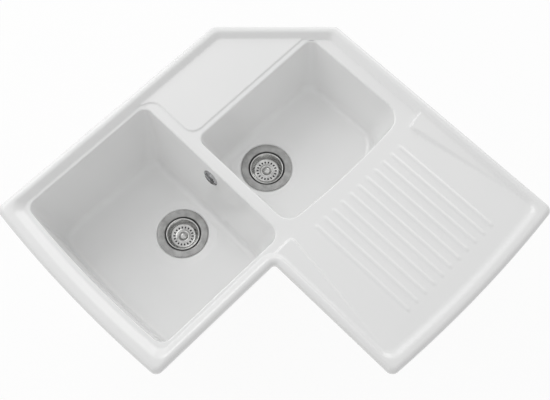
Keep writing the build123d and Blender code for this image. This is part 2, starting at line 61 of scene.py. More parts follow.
# ---- shader graph ---------------------------------------------------------------------
class Signal:
    """A shader socket that takes part in Python expressions."""

    def __init__(self, graph: "Graph", socket: bpy.types.NodeSocket) -> None:
        """Keep a socket and the graph it belongs to.

        Args:
            graph: The graph that new nodes go into.
            socket: The output socket that carries the value.
        """
        self.graph = graph
        self.socket = socket

    def __add__(self, other: "Operand") -> "Signal":
        """Return the sum."""
        return self.graph.maths("ADD", self, other)

    def __sub__(self, other: "Operand") -> "Signal":
        """Return the difference."""
        return self.graph.maths("SUBTRACT", self, other)

    def __rsub__(self, other: float) -> "Signal":
        """Return a number less this value."""
        return self.graph.maths("SUBTRACT", other, self)

    def __mul__(self, other: "Operand") -> "Signal":
        """Return the product."""
        return self.graph.maths("MULTIPLY", self, other)

    def __pow__(self, other: "Operand") -> "Signal":
        """Return this value to a power."""
        return self.graph.maths("POWER", self, other)

    __radd__ = __add__
    __rmul__ = __mul__


Operand = Signal | float


class Graph:
    """The node tree of a material or world under construction."""

    def __init__(self, owner: bpy.types.Material | bpy.types.World) -> None:
        """Start with an empty tree.

        Args:
            owner: The material or world that the tree belongs to.
        """
        owner.use_nodes = True
        self.owner = owner
        self.tree = owner.node_tree
        self.tree.nodes.clear()

    @classmethod
    def named(cls, name: str) -> "Graph":
        """Return the empty graph of a new material."""
        return cls(bpy.data.materials.new(name))

    def node(
        self,
        kind: str,
        settings: Mapping[str, object] | None = None,
        sockets: Mapping[str | int, object] | None = None,
    ) -> bpy.types.Node:
        """Add a node.

        Args:
            kind: The node's type name.
            settings: Node properties, which are set first.
            sockets: Values or links of input sockets, by name or number.

        Returns:
            The new node.
        """
        node = self.tree.nodes.new(kind)
        for name, value in (settings or {}).items():
            setattr(node, name, value)
        for name, value in (sockets or {}).items():
            if isinstance(value, Signal):
                value = value.socket
            if isinstance(value, bpy.types.NodeSocket):
                self.tree.links.new(value, node.inputs[name])
            else:
                node.inputs[name].default_value = value
        return node

    def maths(self, operation: str, first: Operand, second: Operand) -> Signal:
        """Return a Math node's result on two values."""
        node = self.node("ShaderNodeMath", {"operation": operation}, {0: first, 1: second})
        return Signal(self, node.outputs[0])

    def place(
        self, scale: Sequence[float] = (1, 1, 1), shift: Sequence[float] = (0, 0, 0)
    ) -> Signal:
        """Return object coordinates.

        Args:
            scale: Stretch along X, Y and Z.
            shift: What is added to them.

        Returns:
            The coordinates as a vector signal.
        """
        coordinates = self.node("ShaderNodeTexCoord").outputs["Object"]
        sockets = {"Vector": coordinates, "Scale": tuple(scale), "Location": tuple(shift)}
        return Signal(self, self.node("ShaderNodeMapping", None, sockets).outputs[0])

    def axis(self, centre: Sequence[float]) -> tuple[Signal, Signal]:
        """Return the distance from an upright axis and the height, both in metres.

        Args:
            centre: The axis in the frame's X and Y.

        Returns:
            The distance and the height.
        """
        moved = self.place(shift=(-centre[0], -centre[1], 0))
        parts = self.node("ShaderNodeSeparateXYZ", None, {0: moved}).outputs
        x, y, height = (Signal(self, part) for part in parts)
        return (x * x + y * y) ** 0.5, height

    def vector(self, x: Operand, y: Operand, z: Operand) -> Signal:
        """Return a vector of three values."""
        node = self.node("ShaderNodeCombineXYZ", None, {0: x, 1: y, 2: z})
        return Signal(self, node.outputs[0])

    def noise(
        self, place: Signal, scale: float, detail: float = 2.0, rough: float = 0.5
    ) -> Signal:
        """Return soft noise between 0 and 1.

        Args:
            place: Coordinates to read it at.
            scale: Features to the metre.
            detail: Number of octaves.
            rough: Weight of the finer octaves.

        Returns:
            The noise value.
        """
        sockets = {"Vector": place, "Scale": scale, "Detail": detail, "Roughness": rough}
        return Signal(self, self.node("ShaderNodeTexNoise", None, sockets).outputs[0])

    def ramp(self, value: Signal, low: float, high: float) -> Signal:
        """Return a smooth step from 0 at low to 1 at high.

        Args:
            value: What is stepped.
            low: Value from which the step rises.
            high: Value at which it is 1.

        Returns:
            The step.
        """
        settings = {"interpolation_type": "SMOOTHSTEP"}
        sockets = {"Value": value, "From Min": low, "From Max": high}
        return Signal(self, self.node("ShaderNodeMapRange", settings, sockets).outputs[0])

    def blend(self, factor: Signal, first: "Colour | Signal", second: Colour) -> Signal:
        """Return a colour between two, by a factor.

        Args:
            factor: 0 for the first, 1 for the second.
            first: A linear colour, or a signal that carries one.
            second: A linear colour.

        Returns:
            The mixed colour.
        """
        if not isinstance(first, Signal):
            first = (*first, 1.0)
        # A Mix node's colours are its inputs 6 and 7 and its output 2.
        sockets = {0: factor, 6: first, 7: (*second, 1.0)}
        return Signal(self, self.node("ShaderNodeMix", {"data_type": "RGBA"}, sockets).outputs[2])

    def bump(self, height: Signal, strength: float, distance: float) -> Signal:
        """Return a normal that follows a height.

        Args:
            height: The height, 0 to 1.
            strength: Share of the effect.
            distance: Height of 1 in metres.

        Returns:
            The normal.
        """
        sockets = {"Height": height, "Strength": strength, "Distance": distance}
        return Signal(self, self.node("ShaderNodeBump", None, sockets).outputs[0])

    def surface(self, sockets: Mapping[str, object]) -> bpy.types.Material:
        """Close the graph with a Principled shader.

        Args:
            sockets: The shader's values and links by socket name.

        Returns:
            The finished material.
        """
        shader = self.node("ShaderNodeBsdfPrincipled", None, sockets)
        self.node("ShaderNodeOutputMaterial", None, {"Surface": shader.outputs[0]})
        return self.owner


# ---- finishes --------------------------------------------------------------------------
@dataclass(frozen=True)
class WhiteGlaze:
    """Glossy white glaze over fireclay, faintly uneven as fired glaze is."""

    name: str = "white_glaze"
    white: Colour = (0.90, 0.901, 0.898)
    pooled: Colour = (0.886, 0.889, 0.886)
    roughness: float = 0.2

    def material(self) -> bpy.types.Material:
        """Mix the glaze from its nodes.

        Returns:
            The finished material.
        """
        graph = Graph.named(self.name)
        place = graph.place()
        pools = graph.noise(place, scale=6.0, detail=1.0)
        orange_peel = graph.noise(place, scale=160.0, detail=1.0)
        swell = graph.noise(place, scale=14.0, detail=0.0)
        pits = graph.ramp(graph.noise(place, scale=900.0, detail=2.0), 0.70, 0.78)
        colour = graph.blend(graph.ramp(pools, 0.2, 0.8), self.white, self.pooled)
        wiped = graph.ramp(graph.noise(place, scale=24.0, detail=1.0), 0.2, 0.8)
        rough = wiped * 0.06 + self.roughness
        height = swell * 0.75 + orange_peel * 0.22 - pits * 0.06
        return graph.surface(
            {
                "Base Color": colour,
                "Roughness": rough,
                "Specular IOR Level": 0.5,
                "Coat Weight": 0.25,
                "Coat Roughness": 0.12,
                "Normal": graph.bump(height, strength=0.3, distance=0.0005),
            }
        )


@dataclass(frozen=True)
class BareFireclay:
    """Unglazed biscuit under the body, warm and grainy."""

    name: str = "bare_fireclay"
    light: Colour = (0.72, 0.68, 0.61)
    dark: Colour = (0.655, 0.61, 0.54)

    def material(self) -> bpy.types.Material:
        """Mix the biscuit from its nodes.

        Returns:
            The finished material.
        """
        graph = Graph.named(self.name)
        place = graph.place()
        cloud = graph.noise(place, scale=12.0, detail=4.0)
        grain = graph.noise(place, scale=1400.0, detail=3.0, rough=0.7)
        grog = graph.ramp(graph.noise(place, scale=500.0, detail=2.0), 0.62, 0.70)
        tone = graph.blend(graph.ramp(cloud, 0.3, 0.7), self.light, self.dark)
        height = grain * 0.7 + grog * 0.3
        return graph.surface(
            {
                "Base Color": graph.blend(grog * 0.35, tone, (0.42, 0.36, 0.29)),
                "Roughness": grain * 0.15 + 0.78,
                "Specular IOR Level": 0.25,
                "Normal": graph.bump(height, strength=0.6, distance=0.0004),
            }
        )


class Lay(Enum):
    """How a metal surface was last worked."""

    TURNED = "rings about its axis"
    PLATED = "bright plating"
    CAST = "grainy skin"


@dataclass(frozen=True)
class Metal:
    """A metal finish with the marks of how it was worked."""

    name: str
    light: Colour
    dark: Colour
    roughness: float
    lay: Lay = Lay.PLATED
    centre: tuple[float, float] = (0.0, 0.0)

    def material(self) -> bpy.types.Material:
        """Mix the metal from its nodes.

        Returns:
            The finished material.
        """
        graph = Graph.named(self.name)
        place = graph.place()
        cloud = graph.noise(place, scale=70.0, detail=3.0)
        marks, depth = self._marks(graph, place)
        specks = graph.ramp(graph.noise(place, scale=900.0, detail=2.0), 0.68, 0.76)
        mix = graph.ramp(cloud * 0.55 + marks * 0.45, 0.36, 0.64)
        tone = graph.blend(specks * 0.3, graph.blend(mix, self.light, self.dark), self.dark)
        # Both patterns are a half on average, so roughness is the mean.
        rough = marks * 0.10 + cloud * 0.08 + (self.roughness - 0.09)
        return graph.surface(
            {
                "Base Color": tone,
                "Metallic": 1.0,
                "Roughness": rough,
                "Normal": graph.bump(marks, strength=0.6, distance=depth),
            }
        )

    def _marks(self, graph: Graph, place: Signal) -> tuple[Signal, float]:
        """Return the pattern of the work on the surface and its depth in metres.

        Args:
            graph: The material under construction.
            place: Its coordinates.

        Returns:
            The pattern, 0 to 1, and its depth.
        """
        if self.lay is Lay.TURNED:
            away, height = graph.axis(self.centre)
            line = graph.vector(away + height * 0.7, 0.0, 0.0)
            coarse = graph.noise(line, scale=1100.0, detail=2.0)
            return coarse * 0.5 + graph.noise(line, scale=6000.0, detail=2.0) * 0.5, 0.00003
        if self.lay is Lay.CAST:
            return graph.noise(place, scale=1500.0, detail=3.0, rough=0.7), 0.00008
        return graph.noise(place, scale=260.0, detail=3.0), 0.00002


@dataclass(frozen=True)
class Moulded:
    """A moulded plastic or rubber skin, faintly cloudy, with a fine grain."""

    name: str
    light: Colour
    dark: Colour
    dust: Colour
    roughness: float
    gloss: float = 0.45

    def material(self) -> bpy.types.Material:
        """Mix the skin from its nodes.

        Returns:
            The finished material.
        """
        graph = Graph.named(self.name)
        place = graph.place()
        flow = graph.noise(graph.place((1, 1, 0.3)), scale=35.0, detail=4.0)
        grain = graph.noise(place, scale=2200.0, detail=2.0, rough=0.6)
        dusty = graph.ramp(graph.noise(place, scale=110.0, detail=5.0, rough=0.7), 0.52, 0.75)
        tone = graph.blend(graph.ramp(flow, 0.3, 0.7), self.light, self.dark)
        return graph.surface(
            {
                "Base Color": graph.blend(dusty * 0.3, tone, self.dust),
                "Roughness": grain * 0.10 + dusty * 0.08 + (self.roughness - 0.08),
                "Specular IOR Level": self.gloss,
                "Normal": graph.bump(grain * 0.5 + flow * 0.5, strength=0.5, distance=0.00012),
            }
        )


def dress(node: str, material: bpy.types.Material) -> None:
    """Give a CAD node its material.

    Args:
        node: The node's name.
        material: Its material.
    """
    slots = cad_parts[node].data.materials
    slots.clear()
    slots.append(material)
    LOG.info("%s: dressed in %s", node, material.name)


# ---- plans and lofts -------------------------------------------------------------------
def along(start: Vector, stop: Vector, bow: float, share: float) -> tuple[Vector, Vector]:
    """Follow a side that bows out to the left of its heading.

    Args:
        start: The side's first corner.
        stop: Its last corner.
        bow: How far its middle is pushed out.
        share: Place along it, 0 to 1.

    Returns:
        The point there and the unit heading.
    """
    chord = stop - start
    left = Vector((-chord.y, chord.x)).normalized()
    point = start + chord * share + left * (bow * 4 * share * (1 - share))
    heading = chord + left * (bow * 4 * (1 - 2 * share))
    return point, heading.normalized()


@dataclass(frozen=True)
class Outline:
    """A closed plan whose points keep their order at every inset."""

    bows: tuple[float, ...]
    steps: tuple[int, ...]
    corner_steps: int = 10

    def points(self, corners: Sequence[Vector], radii: Sequence[float]) -> Plan:
        """Sample the plan.

        Args:
            corners: Its sharp corners, clockwise.
            radii: The rounding of each corner.

        Returns:
            Points along each side and round the corner that ends it.
        """
        count = len(corners)
        reach = [self._reach(corners, radii, number) for number in range(count)]
        plan: Plan = []
        for number in range(count):
            start, stop = corners[number], corners[(number + 1) % count]
            after = (number + 1) % count
            length = (stop - start).length
            first, last = reach[number] / length, 1 - reach[after] / length
            for step in range(self.steps[number]):
                share = first + (last - first) * step / self.steps[number]
                plan.append(along(start, stop, self.bows[number], share)[0])
            plan += self._corner(corners, reach, radii, number)
        return plan

    def _reach(self, corners: Sequence[Vector], radii: Sequence[float], number: int) -> float:
        """Return how far a corner's rounding runs along its sides.

        Args:
            corners: The plan's sharp corners.
            radii: The rounding of each corner.
            number: The corner.

        Returns:
            The length from the sharp corner.
        """
        before, here = corners[number - 1], corners[number]
        after = corners[(number + 1) % len(corners)]
        turn = (here - before).angle(after - here)
        return radii[number] * tan(turn / 2)

    def _corner(
        self,
        corners: Sequence[Vector],
        reach: Sequence[float],
        radii: Sequence[float],
        number: int,
    ) -> Plan:
        """Sample the rounding at the end of a side.

        Args:
            corners: The plan's sharp corners.
            reach: How far each rounding runs along its sides.
            radii: The rounding of each corner.
            number: The side that the corner ends.

        Returns:
            The rounding's points, its end left out.
        """
        count = len(corners)
        after, far = (number + 1) % count, (number + 2) % count
        start, here, stop = corners[number], corners[after], corners[far]
        share_in = 1 - reach[after] / (here - start).length
        share_out = reach[after] / (stop - here).length
        entry, entry_way = along(start, here, self.bows[number], share_in)
        leave, leave_way = along(here, stop, self.bows[after], share_out)
        handle = 4 / 3 * tan(entry_way.angle(leave_way) / 4) * radii[after]
        pull, push = entry + entry_way * handle, leave - leave_way * handle
        plan = []
        for step in range(self.corner_steps):
            t = step / self.corner_steps
            u = 1 - t
            plan.append(entry * u**3 + pull * 3 * u * u * t + push * 3 * u * t * t + leave * t**3)
        return plan


class Loft:
    """A skin drawn through rings of points, ring after ring."""

    def __init__(self, mesh: bmesh.types.BMesh, points: Iterable[Vector], slot: int = 0) -> None:
        """Start with one closed ring.

        Args:
            mesh: The mesh that the skin goes into.
            points: The ring's points.
            slot: Material slot of the faces that follow.
        """
        self.mesh = mesh
        self.slot = slot
        self.ring = [mesh.verts.new(point) for point in points]
        pairs = zip(self.ring, self.ring[1:] + self.ring[:1])
        self.edges = [mesh.edges.new(pair) for pair in pairs]
        self.first = self.edges

    def to(self, points: Sequence[Vector]) -> "Loft":
        """Draw the skin on to the next ring.

        Args:
            points: The next ring's points, in the same order.

        Returns:
            The loft itself.
        """
        made = bmesh.ops.extrude_edge_only(self.mesh, edges=self.edges)["geom"]
        fresh = {item for item in made if isinstance(item, bmesh.types.BMVert)}
        ring = []
        for old in self.ring:
            ring.append(next(edge.other_vert(old) for edge in old.link_edges
                             if edge.other_vert(old) in fresh))
        for vert, point in zip(ring, points):
            vert.co = point
        for item in made:
            if isinstance(item, bmesh.types.BMFace):
                item.material_index = self.slot
        self.ring = ring
        self.edges = [self.mesh.edges.get(pair) for pair in zip(ring, ring[1:] + ring[:1])]
        return self

    def through(self, rings: Iterable[Sequence[Vector]]) -> "Loft":
        """Draw the skin on through more rings.

        Args:
            rings: The points of each ring, in the same order.

        Returns:
            The loft itself.
        """
        for ring in rings:
            self.to(ring)
        return self

    def close(self) -> None:
        """Fill the last ring."""
        fill(self.mesh, self.edges, self.slot)


def round_angles(count: int) -> list[float]:
    """Return the angles of points spaced evenly round a circle."""
    return [2 * pi * step / count for step in range(count)]


def lift(plan: Plan, height: float) -> list[Vector]:
    """Raise a plan to a height."""
    return [Vector((point.x, point.y, height)) for point in plan]


def smooth_step(value: np.ndarray, low: float, high: float) -> np.ndarray:
    """Return a smooth rise from 0 at low to 1 at high."""
    share = np.clip((value - low) / (high - low), 0, 1)
    return share * share * (3 - 2 * share)


def inside_distance(points: np.ndarray, border: np.ndarray) -> np.ndarray:
    """Measure how deep points lie inside a closed border.

    Args:
        points: Plan points, one row each.
        border: The border's corners, one row each.

    Returns:
        The distance to the border, negative outside.
    """
    best = np.full(len(points), 1e9)
    crossings = np.zeros(len(points), bool)
    for start, stop in zip(border, np.roll(border, -1, axis=0)):
        chord = stop - start
        share = np.clip(((points - start) @ chord) / (chord @ chord), 0, 1)
        away = points - (start + share[:, None] * chord)
        best = np.minimum(best, np.hypot(away[:, 0], away[:, 1]))
        spans = (start[1] > points[:, 1]) != (stop[1] > points[:, 1])
        if chord[1]:
            at = start[0] + (points[:, 1] - start[1]) * chord[0] / chord[1]
            crossings ^= spans & (points[:, 0] < at)
    return np.where(crossings, best, -best)


def fill(
    mesh: bmesh.types.BMesh, edges: Iterable[bmesh.types.BMEdge], slot: int = 0,
    facing: Sequence[float] = (0, 0, 1),
) -> None:
    """Fill the flat area between closed loops of edges.

    Args:
        mesh: The mesh that holds them.
        edges: An outer loop and the loops of its holes.
        slot: Material slot of the new faces.
        facing: The area's normal.
    """
    made = bmesh.ops.triangle_fill(mesh, use_beauty=True, edges=list(edges), normal=facing)
    for item in made["geom"]:
        if isinstance(item, bmesh.types.BMFace):
            item.material_index = slot


def turned(profile: Profile, steps: int) -> bmesh.types.BMesh:
    """Spin a profile of (radius, height) points about Z.

    Args:
        profile: The profile's points.
        steps: Number of steps in a full turn.

    Returns:
        The mesh, in the profile's units.
    """
    mesh = bmesh.new()
    verts = [mesh.verts.new((radius, 0, height)) for radius, height in profile]
    edges = [mesh.edges.new(pair) for pair in zip(verts, verts[1:])]
    bmesh.ops.spin(mesh, geom=verts + edges, cent=(0, 0, 0), axis=(0, 0, 1), angle=2 * pi,
                   steps=steps, use_merge=True)
    bmesh.ops.remove_doubles(mesh, verts=mesh.verts, dist=WELD)
    bmesh.ops.recalc_face_normals(mesh, faces=mesh.faces)
    return mesh


def keep_object(
    name: str,
    mesh: bmesh.types.BMesh,
    place: Matrix,
    materials: Sequence[bpy.types.Material],
    sharp: float = 40.0,
) -> bpy.types.Object:
    """Turn a bmesh into an object with smooth faces.

    Args:
        name: The object's name.
        mesh: The mesh, which is freed.
        place: Where its own coordinates go in the frame.
        materials: Its material slots.
        sharp: Angle in degrees from which an edge stays crisp.

    Returns:
        The new object.
    """
    bmesh.ops.transform(mesh, matrix=place, verts=mesh.verts)
    data = bpy.data.meshes.new(name)
    mesh.to_mesh(data)
    mesh.free()
    data.polygons.foreach_set("use_smooth", [True] * len(data.polygons))
    data.set_sharp_from_angle(angle=radians(sharp))
    for material in materials:
        data.materials.append(material)
    made = bpy.data.objects.new(name, data)
    bpy.context.scene.collection.objects.link(made)
    LOG.info("%s: %d faces", name, len(data.polygons))
    return made


def from_corner(x: float = 0.0, y: float = 0.0, height: float = 0.0) -> Matrix:
    """Return the place in the frame of a point measured in mm from the wall corner."""
    there = Vector((CORNER[0] + x * MM, CORNER[1] + y * MM, height * MM))
    return Matrix.Translation(there) @ Matrix.Scale(MM, 4)


# ---- fireclay body ---------------------------------------------------------------------
@dataclass(frozen=True)
class BowlForm:
    """One bowl's mouth at deck level, its depth and its waste, from the wall corner."""

    name: str
    left: float
    right: float
    back: float
    front: float
    bows: tuple[float, float, float, float]
    radii: tuple[float, float, float, float]
    floor: float
    draft: float
    waste: tuple[float, float]
    lip: float
    tightest: float = 10.0
    side_steps: int = 34
    corner_steps: int = 9

    def corners(self, inset: float) -> list[Vector]:
        """Return the sharp corners, clockwise from back left, moved in by inset.

        Args:
            inset: How far the sides are moved in.

        Returns:
            The four corners.
        """
        left, right = self.left + inset, self.right - inset
        back, front = self.back - inset, self.front + inset
        return [Vector(c) for c in ((left, back), (right, back), (right, front), (left, front))]

    def plan(self, inset: float, rounder: float) -> Plan:
        """Sample the bowl's plan.

        Args:
            inset: How far it is moved in from the mouth.
            rounder: What is added to its corner radii.

        Returns:
            The plan's points.
        """
        radii = [max(radius + rounder, self.tightest) for radius in self.radii]
        outline = Outline(self.bows, (self.side_steps,) * 4, self.corner_steps)
        return outline.points(self.corners(inset), radii)


BIG_BOWL = BowlForm(
    "big", left=37.0, right=447.0, back=-428.0, front=-754.0, bows=(0, 0, 9.0, 0),
    radii=(20, 28, 22, 20), floor=-185.0, draft=25.0, waste=(243.0, -532.0), lip=3.2)
SMALL_BOWL = BowlForm(
    "small", left=172.0, right=440.0, back=-58.0, front=-402.0, bows=(0, 9.0, 0, 0),
    radii=(20, 38, 28, 20), floor=-140.0, draft=23.0, waste=(276.0, -301.0), lip=4.0)


class Skin(IntEnum):
    """The body's material slots."""

    GLAZED = 0
    BARE = 1


@dataclass
class Bowl:
    """A bowl of the body with its inside, its waste seat and its outside.

    The dish is the seat's profile, from its outer edge in, as radius and height over the
    bowl's floor.
    """

    form: BowlForm
    deck: float
    lip_steps: int = 6
    wall_steps: int = 8
    floor_round: float = 18.5
    floor_steps: int = 8
    floor_shares: tuple[float, ...] = (0.12, 0.3, 0.5, 0.7, 0.86, 1)
    under_shares: tuple[float, ...] = (0.25, 0.6, 1)
    wall: float = 9.0
    floor_thickness: float = 14.0
    shell_round: float = 27.0
    shell_steps: int = 5
    widening: float = 9.0
    tightening: float = 0.8
    shell_rows: tuple[float, float] = (-60.0, -8.0)
    shell_widening: float = 10.0
    recess: float = 58.0
    dish_clearance: float = 1.15
    bore_steps: int = 40
    bore_patch: tuple[float, float] = (24.0, 22.0)
    dish: tuple[tuple[float, float], ...] = (
        (78, 0), (75, -0.5), (68, -1.5), (61, -2.0), (59.2, -2.1), (58.3, -2.5), (58, -3.1),
        (57.4, -3.5), (52, -3.5), (46.6, -3.5), (45.4, -3.9), (45, -5.0), (45, -13.0), (46, -14))

    @property
    def lean(self) -> float:
        """Return the wall's angle from upright."""
        return atan2(self.form.draft, self.deck - self.form.floor)

    def build(self, mesh: bmesh.types.BMesh) -> tuple[list, list]:
        """Draw the bowl's skin from its lip to the waste and back up outside.

        Args:
            mesh: The body's mesh.

        Returns:
            The edges of its lip and those of its outside's top.
        """
        inside, outside = self._rings(self._inside()), self._rings(self._outside())
        skin = Loft(mesh, inside[0]).through(inside[1:])
        self._cross(skin, self._round(inside[-1], self.dish[0]), self.floor_shares)
        skin.through(self._round(inside[-1], point) for point in self.dish[1:])
        skin.slot = Skin.BARE
        self._cross(skin, outside[0], self.under_shares)
        skin.through(outside[1:])
        return skin.first, skin.edges

    def _rings(self, rows: Iterable[tuple[float, float, float]]) -> list[list[Vector]]:
        """Return the bowl's plan for each row of inset, height and added corner radius."""
        return [lift(self.form.plan(inset, rounder), height) for inset, height, rounder in rows]

    @staticmethod
    def _cross(skin: Loft, stop: Plan, shares: Sequence[float]) -> None:
        """Draw a skin across to another ring by shares of the way.

        Args:
            skin: The skin.
            stop: The points of the ring that it ends on.
            shares: Places of the rings between, the last of them 1.
        """
        start = [vert.co.copy() for vert in skin.ring]
        skin.through([a.lerp(b, share) for a, b in zip(start, stop)] for share in shares)

    def _round(self, ring: Sequence[Vector], point: tuple[float, float]) -> list[Vector]:
        """Project a ring on to a circle round the waste.

        Args:
            ring: The ring whose directions the points keep.
            point: The circle's radius and its height above the floor.

        Returns:
            The circle's points.
        """
        radius, height = point
        centre = Vector((*self.form.waste, self.form.floor + height))
        recess, dish = self.recess, self.dish[0][0]
        circle = []
        for corner in ring:
            way = Vector((corner.x - centre.x, corner.y - centre.y, 0))
            room = min((way.length - recess) / (dish - recess) / self.dish_clearance, 1)
            reach = recess + (radius - recess) * room if radius > recess else radius
            circle.append(centre + way.normalized() * reach)
        return circle

    def bore(self, mesh: bmesh.types.BMesh, depth: float, radius: float) -> None:
        """Bore the overflow square through the bowl's back wall.

        Args:
            mesh: The body's mesh.
            depth: How far the hole's middle lies below the deck.
            radius: The hole's radius.
        """
        back = self.form.back - depth * tan(self.lean)
        out = Vector((0, cos(self.lean), -sin(self.lean)))
        mouth = Vector((self.form.waste[0], back, self.deck - depth))
        rims = []
        for way, slot in ((0.0, Skin.GLAZED), (self.wall * cos(self.lean), Skin.BARE)):
            centre = mouth + out * way
            near = [face for face in mesh.faces if self._beside(face, centre, out)]
            edges = dict.fromkeys(edge for face in near for edge in face.edges)
            border = [edge for edge in edges if sum(f in near for f in edge.link_faces) == 1]
            bmesh.ops.delete(mesh, geom=near, context="FACES")
            place = Matrix.Translation(centre) @ out.to_track_quat("Z", "Y").to_matrix().to_4x4()
            made = bmesh.ops.create_circle(mesh, segments=self.bore_steps, radius=radius,
                                           matrix=place)
            rim = list(dict.fromkeys(edge for vert in made["verts"] for edge in vert.link_edges))
            fill(mesh, border + rim, slot, out)
            rims += rim
        bmesh.ops.bridge_loops(mesh, edges=rims)

    def _beside(self, face: bmesh.types.BMFace, centre: Vector, out: Vector) -> bool:
        """Tell whether a face lies in the wall's plane, on the patch round the hole.

        Args:
            face: A face of the body.
            centre: The hole's middle in the wall's plane.
            out: The wall's normal.

        Returns:
            Whether the face is part of the patch that the hole is cut in.
        """
        off = face.calc_center_median() - centre
        wide, high = self.bore_patch
        return abs(off.dot(out)) < 0.5 and abs(off.x) < wide and abs(off.z) < high

    def _inside(self) -> Iterable[tuple[float, float, float]]:
        """Yield the inside's inset, height and added corner radius, from the lip down.

        Returns:
            Rows of three sizes in mm.
        """
        lean, lip, fillet = self.lean, self.form.lip, self.floor_round
        turn = pi / 2 - lean
        reach = lip * tan(turn / 2)
        for step in range(self.lip_steps + 1):
            angle = turn * step / self.lip_steps
            inset = -reach + lip * sin(angle)
            yield inset, self.deck - lip + lip * cos(angle), -inset
        length = fillet * tan(turn / 2)
        top = self.deck - reach * cos(lean)
        low = self.form.floor + length * cos(lean)
        for step in range(1, self.wall_steps):
            height = top + (low - top) * step / self.wall_steps
            rounder = self.widening * step / self.wall_steps
            yield (self.deck - height) * tan(lean), height, rounder
        start = self.form.draft - length * sin(lean)
        for step in range(self.floor_steps + 1):
            angle = lean + turn * step / self.floor_steps
            inset = self.form.draft + length - fillet * cos(angle)
            height = self.form.floor + fillet * (1 - sin(angle))
            yield inset, height, self.widening - (inset - start) * self.tightening

    def _outside(self) -> Iterable[tuple[float, float, float]]:
        """Yield the outside's inset, height and added corner radius, from the floor up.

        Returns:
            Rows of three sizes in mm.
        """
        lean, fillet = self.lean, self.shell_round
        bottom = self.form.floor - self.floor_thickness
        length = fillet * tan((pi / 2 - lean) / 2)
        foot = (self.deck - bottom) * tan(lean) - self.wall
        for step in range(self.shell_steps + 1):
            angle = pi / 2 - (pi / 2 - lean) * step / self.shell_steps
            inset = foot + length - fillet * cos(angle)
            yield inset, bottom + fillet * (1 - sin(angle)), self.widening + foot - inset
        for height in self.shell_rows:
            yield (self.deck - height) * tan(lean) - self.wall, height, self.shell_widening


